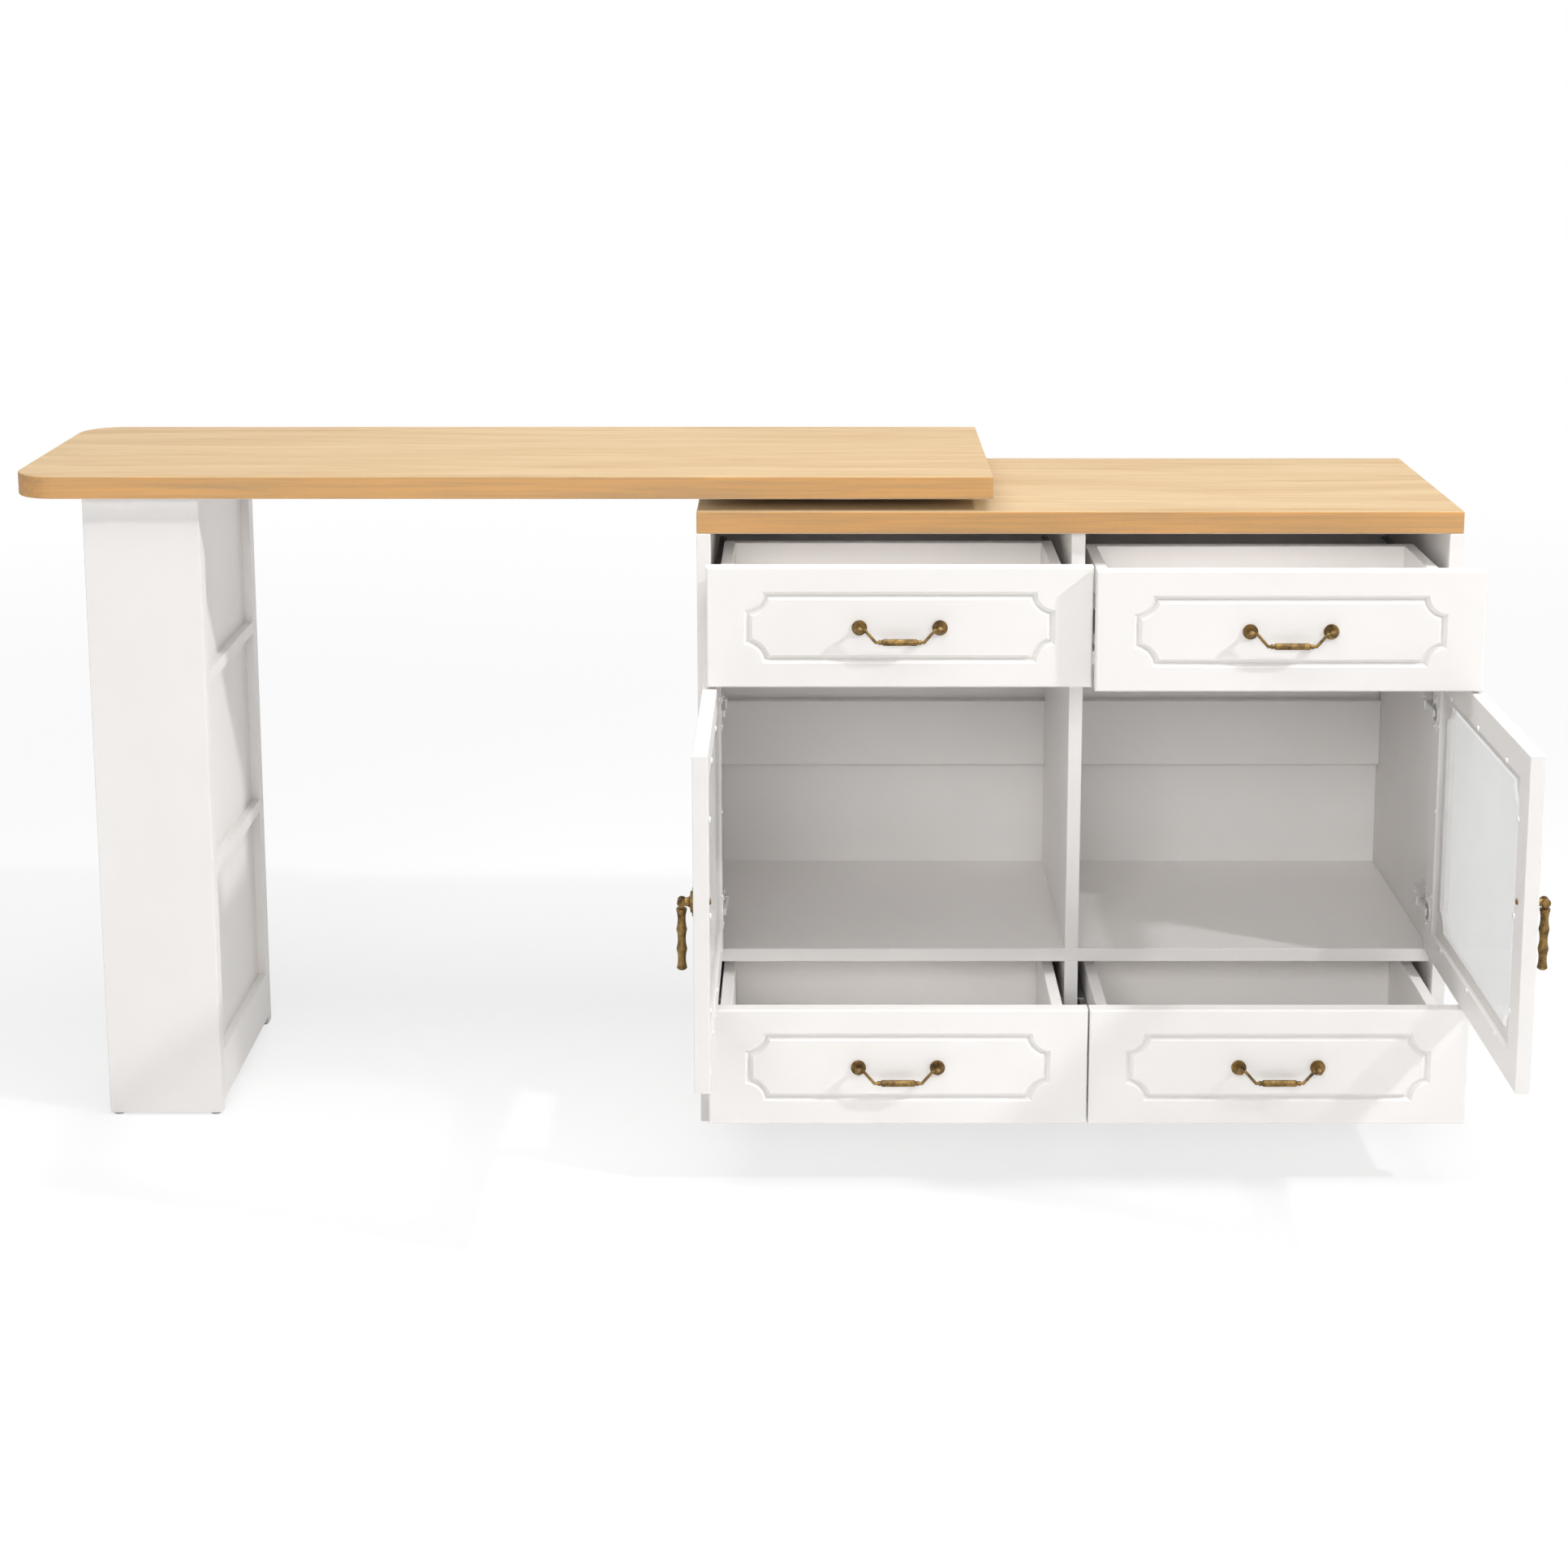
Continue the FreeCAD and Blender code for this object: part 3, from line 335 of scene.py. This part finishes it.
class ISLAND_OT_grain_tops(bpy.types.Operator):
    """Gives the worktop and the table top their beech grain and white undersides"""

    bl_idname = "island.grain_tops"
    bl_label = "Grain the tops"

    def execute(self, context):
        sizes = context.scene.island_finishes
        wood = Finish("beech_top")
        broad = wood.place(stretch=(0.8, 9.0, 9.0))
        narrow = wood.place(stretch=(1.3, 62.0, 62.0))
        fine = wood.place(stretch=(26.0, 330.0, 330.0))
        figure = wood.noise(broad, scale=2.2, detail=5.0, rough=0.55, bend=0.7)
        lines = wood.noise(narrow, scale=4.0, detail=5.0, rough=0.65)
        pores = wood.climb(wood.noise(fine, scale=3.0, detail=1.0), low=0.60, high=0.72)
        bands = wood.climb(figure, low=0.40, high=0.64)
        grown = 0.45 * bands + 0.55 * wood.climb(lines, low=0.42, high=0.66)
        dark = colour(sizes.beech_dark)
        # Faces looking up take the paler ground colour, partly painted sheen; upright faces take
        # the darker edge colour, partly painted shade; faces looking down take the inner white.
        ground_and_sheen = wood.blend(grown + 0.16 * pores, colour(sizes.beech), dark)
        banding_and_shade = wood.blend(grown + 0.2 * pores, colour(sizes.beech_edge_and_shade), dark)
        up = wood.facing("Z")
        backing = wood.blend(figure, colour(sizes.inner), colour(sizes.inner_shade))
        base = wood.blend(0.0 - up > ALONG, wood.blend(up > ALONG, banding_and_shade, ground_and_sheen), backing)
        gloss = 0.48 + 0.12 * lines + 0.10 * pores
        relief = wood.bump(lines - 0.6 * pores, depth=0.0002, strength=0.18)
        looks = {"base_color": base, "roughness": gloss, "normal": relief}
        clothe(nodes_of("beech_top"), wood.surface(specular_ior_level=0.3, **looks))
        return {"FINISHED"}


class ISLAND_OT_plate_steel(bpy.types.Operator):
    """Plates the drawer runners and the bearing with zinc"""

    bl_idname = "island.plate_steel"
    bl_label = "Plate the runners"

    def execute(self, context):
        sizes = context.scene.island_finishes
        steel = Finish("zinc_plated_steel")
        drawn = steel.noise(steel.place(stretch=(900.0, 9.0, 900.0)), scale=1.0, detail=3.0)
        bloom = steel.noise(steel.place(), scale=34.0, detail=4.0)
        base = steel.blend(bloom, colour(sizes.zinc), colour(sizes.zinc, share=0.72))
        rough = 0.30 + 0.16 * bloom + 0.10 * drawn
        relief = steel.bump(drawn, depth=0.0001, strength=0.15)
        looks = {"base_color": base, "roughness": rough, "normal": relief}
        clothe(nodes_of("runner_steel"), steel.surface(metallic=0.9, **looks))
        return {"FINISHED"}


class ISLAND_OT_plate_hinges(bpy.types.Operator):
    """Plates the door hinges with nickel"""

    bl_idname = "island.plate_hinges"
    bl_label = "Plate the hinges"

    def execute(self, context):
        clothe(nodes_of("hinge_steel"), nickel_finish(context.scene.island_finishes))
        return {"FINISHED"}


def nickel_finish(sizes):
    nickel = bpy.data.materials.get("nickel_plate")
    if nickel:
        return nickel
    plate = Finish("nickel_plate")
    bloom = plate.noise(plate.place(), scale=120.0, detail=3.0)
    rub = plate.noise(plate.place(stretch=(80.0, 900.0, 900.0)), scale=1.0, detail=2.0)
    base = plate.blend(bloom, colour(sizes.nickel), colour(sizes.nickel, share=0.86))
    rough = 0.28 + 0.14 * bloom
    relief = plate.bump(rub, depth=0.00005, strength=0.12)
    return plate.surface(base_color=base, roughness=rough, metallic=0.4, normal=relief)


class ISLAND_OT_age_bronze(bpy.types.Operator):
    """Ages the bails, their posts and the door pulls"""

    bl_idname = "island.age_bronze"
    bl_label = "Age the handles"

    def execute(self, context):
        clothe(nodes_of("bronze"), bronze_finish(context.scene.island_finishes))
        return {"FINISHED"}


def bronze_finish(sizes):
    bronze = bpy.data.materials.get("aged_bronze")
    if bronze:
        return bronze
    metal = Finish("aged_bronze")
    place = metal.place()
    cloud = metal.noise(place, scale=95.0, detail=5.0, rough=0.62)
    speck = metal.noise(place, scale=640.0, detail=2.0)
    wash = metal.climb(cloud + 0.25 * speck, low=0.45, high=0.80)
    base = metal.blend(wash, colour(sizes.bronze), colour(sizes.patina))
    rough = 0.30 + 0.26 * wash
    bare = 0.92 - 0.3 * wash
    relief = metal.bump(cloud + 0.5 * speck, depth=0.0003, strength=0.3)
    return metal.surface(base_color=base, roughness=rough, metallic=bare, normal=relief)


class ISLAND_OT_clear_glass(bpy.types.Operator):
    """Makes the door panes clear, with a grey veil and pale cut edges"""

    bl_idname = "island.clear_glass"
    bl_label = "Clear the glass"

    def execute(self, context):
        sizes = context.scene.island_finishes
        glass = Finish("clear_glass")
        smear = glass.noise(glass.place(), scale=14.0, detail=4.0)
        edge = 1.0 - (abs(glass.facing("X")) > ALONG)
        base = glass.blend(edge, colour(sizes.glass), colour(sizes.glass_edge))
        clear = 1.0 - 0.8 * self.backed(glass, context.scene.island_fixings)
        veil = (0.30 + 0.05 * smear - 0.10 * edge) * clear
        pane = glass.surface(base_color=base, roughness=0.05 + 0.08 * smear, alpha=veil)
        clothe(nodes_of("glass"), pane)
        return {"FINISHED"}

    @staticmethod
    def backed(glass, sizes):
        """One where a pane lies on its frame: along its border and in the scooped corners."""
        low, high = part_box("left_door_glass")
        middle, half = (low + high) / 2, (high - low) / 2
        place = glass.place()
        insets = []
        for axis in "yz":
            along = glass.node("ShaderNodeSeparateXYZ", {}, {0: place}, out=axis.upper())
            insets.append(getattr(half, axis) - sizes.bead - abs(along - getattr(middle, axis)))
        across, up = insets
        border = 1.0 - (across > 0.0) * (up > 0.0)
        return border | (sizes.scallop ** 2 - across * across - up * up > 0.0)


class ISLAND_OT_mould_glides(bpy.types.Operator):
    """Gives the leg's feet a moulded nylon finish"""

    bl_idname = "island.mould_glides"
    bl_label = "Mould the glides"

    def execute(self, context):
        sizes = context.scene.island_finishes
        nylon = Finish("moulded_nylon")
        grain = nylon.noise(nylon.place(), scale=900.0, detail=2.0)
        scuff = nylon.noise(nylon.place(), scale=60.0, detail=3.0)
        base = nylon.blend(scuff, colour(sizes.glide), colour(sizes.glide, share=1.5))
        rough = 0.5 + 0.2 * scuff
        relief = nylon.bump(grain, depth=0.0002, strength=0.3)
        clothe(nodes_of("glide"), nylon.surface(base_color=base, roughness=rough, normal=relief))
        return {"FINISHED"}


# Fixings

def deselect():
    bpy.ops.object.select_all(action="DESELECT")


def apply_all(piece):
    bpy.context.view_layer.objects.active = piece
    for modifier in list(piece.modifiers):
        bpy.ops.object.modifier_apply(modifier=modifier.name)


def screw_head(radius, sides):
    """A pan head with a crossed recess, standing on its flat at the origin."""
    deselect()
    height = HEAD_HEIGHT * radius
    shape = {"vertices": sides, "radius": radius, "depth": height}
    bpy.ops.mesh.primitive_cylinder_add(**shape, location=(0.0, 0.0, height / 2))
    head = bpy.context.object
    bpy.ops.object.transform_apply(location=True)
    dome = head.modifiers.new("dome", "BEVEL")
    dome.width = HEAD_ROUNDING * radius
    dome.segments = ROUNDING_STEPS
    dome.limit_method = "WEIGHT"
    rim = head.data.attributes.new("bevel_weight_edge", "FLOAT", "EDGE")
    top = height - RIM_SLACK * radius
    for edge in head.data.edges:
        ends = [head.data.vertices[end].co.z for end in edge.vertices]
        rim.data[edge.index].value = float(min(ends) > top)
    apply_all(head)
    for turn in (0.0, math.pi / 2):
        deselect()
        tip = (0.0, 0.0, height)
        bpy.ops.mesh.primitive_cube_add(size=1.0, location=tip, rotation=(0.0, 0.0, turn))
        blade = bpy.context.object
        blade.scale = (BLADE_LENGTH * radius, BLADE_WIDTH * radius, BLADE_DEPTH * height)
        recess = head.modifiers.new("recess", "BOOLEAN")
        recess.operation = "DIFFERENCE"
        recess.object = blade
        apply_all(head)
        bpy.data.objects.remove(blade)
    deselect()
    head.select_set(True)
    bpy.context.view_layer.objects.active = head
    bpy.ops.object.shade_smooth_by_angle(angle=SMOOTH_ANGLE)
    return head


def looking(point, way):
    """The place of a fixing that stands on a point and looks a given way."""
    turn = Vector(way).to_track_quat("Z", "X").to_matrix().to_4x4()
    return Matrix.Translation(point) @ turn


def inside(box, side):
    """Where the inner face of a door's piece stands, which looks at the other door."""
    low, high = box
    return high.x if side < 0 else low.x


def set_copies(source, places, name, body, material):
    """Copies a fixing to each place, joins the copies as one piece and seats it on a body."""
    copies = []
    for place in places:
        copy = source.copy()
        copy.data = source.data.copy()
        copy.data.transform(place)
        bpy.context.scene.collection.objects.link(copy)
        copies.append(copy)
    deselect()
    for copy in copies:
        copy.select_set(True)
    bpy.context.view_layer.objects.active = copies[0]
    if len(copies) > 1:
        bpy.ops.object.join()
    piece = copies[0]
    piece.name = name
    piece.data.materials.clear()
    piece.data.materials.append(material)
    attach(piece, body)


class ISLAND_OT_add_pane_screws(bpy.types.Operator):
    """Sets the screws that hold each pane in its frame"""

    bl_idname = "island.add_pane_screws"
    bl_label = "Set the pane screws"

    def execute(self, context):
        sizes = context.scene.island_fixings
        head = screw_head(sizes.pane_screw, sizes.sides)
        nickel = nickel_finish(context.scene.island_finishes)
        out = sizes.pane_screw - sizes.lap
        for name, side in SIDES.items():
            low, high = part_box(f"{name}_door_glass")
            x = inside(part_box(f"{name}_door_frame"), side)
            spots = []
            for share in PANE_SHARES:
                y = low.y + share * (high.y - low.y)
                z = low.z + share * (high.z - low.z)
                spots += [(x, y, low.z - out), (x, y, high.z + out)]
                spots += [(x, low.y - out, z), (x, high.y + out, z)]
            places = [looking(spot, (-side, 0.0, 0.0)) for spot in spots]
            set_copies(head, places, f"{name}_pane_screws", f"{name}_door", nickel)
        bpy.data.objects.remove(head)
        return {"FINISHED"}


class ISLAND_OT_add_hinge_screws(bpy.types.Operator):
    """Sets the screws of the hinges' plates, arms and cups"""

    bl_idname = "island.add_hinge_screws"
    bl_label = "Set the hinge screws"

    def execute(self, context):
        sizes = context.scene.island_fixings
        head = screw_head(sizes.hinge_screw, sizes.sides)
        nickel = nickel_finish(context.scene.island_finishes)
        low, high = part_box("hinge_arms")
        plate_y, arm_y = high.y - sizes.plate_back, high.y - sizes.arm_back
        places = []
        for name, side in SIDES.items():
            plate_x, arm_x = side * (high.x - sizes.plate), side * (high.x - sizes.arm)
            spots = []
            for z in (low.z + sizes.plate_half, high.z - sizes.plate_half):
                heights = (z - sizes.plate_rise, z + sizes.plate_rise)
                spots += [(plate_x, plate_y, height) for height in heights]
                spots += [(arm_x, arm_y, z), (arm_x, arm_y - sizes.arm_pitch, z)]
            places += [looking(spot, (-side, 0.0, 0.0)) for spot in spots]
            self.fix_cups(head, name, side, sizes, nickel)
        set_copies(head, places, "hinge_screws", "cabinet", nickel)
        bpy.data.objects.remove(head)
        return {"FINISHED"}

    @staticmethod
    def fix_cups(head, name, side, sizes, material):
        """The screws through the wings of a door's hinge cups."""
        low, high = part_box(f"{name}_hinge_cups")
        x, y = inside((low, high), side), (low.y + high.y) / 2
        ends = (low.z + sizes.wing, high.z - sizes.wing - sizes.wing_pitch)
        heights = [z + rise for z in ends for rise in (0.0, sizes.wing_pitch)]
        places = [looking((x, y, z), (-side, 0.0, 0.0)) for z in heights]
        set_copies(head, places, f"{name}_cup_screws", f"{name}_door", material)


class ISLAND_OT_add_handle_screws(bpy.types.Operator):
    """Sets the screws that hold the bails and the door pulls from behind"""

    bl_idname = "island.add_handle_screws"
    bl_label = "Set the handle screws"

    def execute(self, context):
        sizes = context.scene.island_fixings
        bronze = bronze_finish(context.scene.island_finishes)
        nickel = nickel_finish(context.scene.island_finishes)
        head = screw_head(sizes.handle_screw, sizes.sides)
        for name in DRAWERS:
            low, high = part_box(f"{name}_handle_posts")
            rose = (high.z - low.z) / 2
            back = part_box(f"{name}_drawer_front")[1].y
            middle = (low.z + high.z) / 2
            spots = [(x, back, middle) for x in (low.x + rose, high.x - rose)]
            places = [looking(spot, (0.0, 1.0, 0.0)) for spot in spots]
            label, body = f"{name}_handle_screws", f"{name}_drawer"
            set_copies(head, places, label, body, nickel)
        bpy.data.objects.remove(head)
        head = screw_head(sizes.pull_screw, sizes.sides)
        for name, side in SIDES.items():
            low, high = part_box(f"{name}_pull_post")
            x = inside(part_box(f"{name}_door_frame"), side)
            place = looking((x, (low.y + high.y) / 2, (low.z + high.z) / 2), (-side, 0.0, 0.0))
            set_copies(head, [place], f"{name}_pull_screw", f"{name}_door", bronze)
        bpy.data.objects.remove(head)
        return {"FINISHED"}


# Stage

def area_light(name, watts, size, where, target, mirrored):
    lamp = bpy.data.lights.new(name, "AREA")
    lamp.shape = "RECTANGLE"
    lamp.energy = watts
    lamp.size, lamp.size_y = size
    holder = bpy.data.objects.new(name, lamp)
    bpy.context.scene.collection.objects.link(holder)
    holder.location = where
    holder.rotation_euler = (Vector(target) - Vector(where)).to_track_quat("-Z", "Y").to_euler()
    holder.visible_glossy = mirrored


class ISLAND_OT_set_stage(bpy.types.Operator):
    """Lays the pale floor and sets the camera and the lights"""

    bl_idname = "island.set_stage"
    bl_label = "Set the stage"

    def execute(self, context):
        studio = context.scene.island_studio
        self.lay_floor(studio)
        self.light_sky(studio)
        for name, (size, where, target, mirrored) in LAMPS.items():
            area_light(f"{name}_light", getattr(studio, name), size, where, target, mirrored)
        camera = bpy.data.cameras.new("photo_camera")
        camera.lens = studio.lens
        camera.sensor_width = SENSOR
        camera.shift_x, camera.shift_y = studio.shift_x, studio.shift_y
        holder = bpy.data.objects.new("photo_camera", camera)
        context.scene.collection.objects.link(holder)
        holder.location = studio.eye
        holder.rotation_euler = (math.pi / 2 - studio.pitch, 0.0, 0.0)
        context.scene.camera = holder
        context.scene.view_settings.view_transform = "Standard"
        return {"FINISHED"}

    def lay_floor(self, studio):
        deselect()
        bpy.ops.mesh.primitive_plane_add(size=studio.span, location=(0.0, 0.0, 0.0))
        floor = bpy.context.object
        floor.name = "studio_floor"
        pale = Finish("pale_floor")
        place = pale.place()
        mottle = pale.noise(place, scale=3.0, detail=2.0)
        base = pale.blend(mottle, colour(studio.floor), colour(studio.floor, share=0.98))
        lit = pale.node("ShaderNodeBsdfDiffuse", {}, {"Color": base})
        white = pale.node("ShaderNodeEmission", {}, {"Color": WHITE, "Strength": 1.0})
        away = pale.node("ShaderNodeVectorMath", {"operation": "LENGTH"}, {0: place}, out="Value")
        reach = {"From Min": studio.near, "From Max": studio.far, "To Min": studio.glow}
        fade = pale.node("ShaderNodeMapRange", {}, {"Value": away, **reach})
        mixed = pale.node("ShaderNodeMixShader", {}, {0: fade * seen(pale), 1: lit, 2: white})
        pale.node("ShaderNodeOutputMaterial", {}, {"Surface": mixed})
        floor.data.materials.append(pale.material)

    def light_sky(self, studio):
        world = bpy.data.worlds.new("studio_sky")
        bpy.context.scene.world = world
        sky = Finish("studio_sky", world)
        strength = studio.sky + (1.0 - studio.sky) * seen(sky)
        glow = sky.node("ShaderNodeBackground", {}, {"Color": WHITE, "Strength": strength})
        sky.node("ShaderNodeOutputWorld", {}, {"Surface": glow})


def seen(finish):
    """One for a ray from the camera, or one that reflection or glass sends on."""
    kinds = ("Camera", "Glossy", "Transmission")
    rays = [finish.node("ShaderNodeLightPath", out=f"Is {kind} Ray") for kind in kinds]
    return rays[0] | rays[1] | rays[2]


# Panel

class ISLAND_PT_steps(bpy.types.Panel):
    """Steps that dress the island, in order"""

    bl_idname = "ISLAND_PT_steps"
    bl_label = "Kitchen island"
    bl_space_type = "VIEW_3D"
    bl_region_type = "UI"
    bl_category = "Island"

    def draw(self, context):
        for step in STEPS:
            self.layout.operator(step.bl_idname)


STEPS = (
    ISLAND_OT_paint_boards,
    ISLAND_OT_grain_tops,
    ISLAND_OT_plate_steel,
    ISLAND_OT_plate_hinges,
    ISLAND_OT_age_bronze,
    ISLAND_OT_clear_glass,
    ISLAND_OT_mould_glides,
    ISLAND_OT_add_pane_screws,
    ISLAND_OT_add_hinge_screws,
    ISLAND_OT_add_handle_screws,
    ISLAND_OT_set_stage,
)
GROUPS = {
    "island_finishes": IslandFinishes,
    "island_fixings": IslandFixings,
    "island_studio": IslandStudio,
}


def register():
    for made in (*GROUPS.values(), *STEPS, ISLAND_PT_steps):
        bpy.utils.register_class(made)
    for name, made in GROUPS.items():
        setattr(bpy.types.Scene, name, PointerProperty(type=made))


def unregister():
    for name in GROUPS:
        delattr(bpy.types.Scene, name)
    for made in (ISLAND_PT_steps, *reversed(STEPS), *GROUPS.values()):
        bpy.utils.unregister_class(made)


def main():
    register()
    for step in STEPS:
        space, name = step.bl_idname.split(".")
        getattr(getattr(bpy.ops, space), name)()


if __name__ == "__main__":
    main()
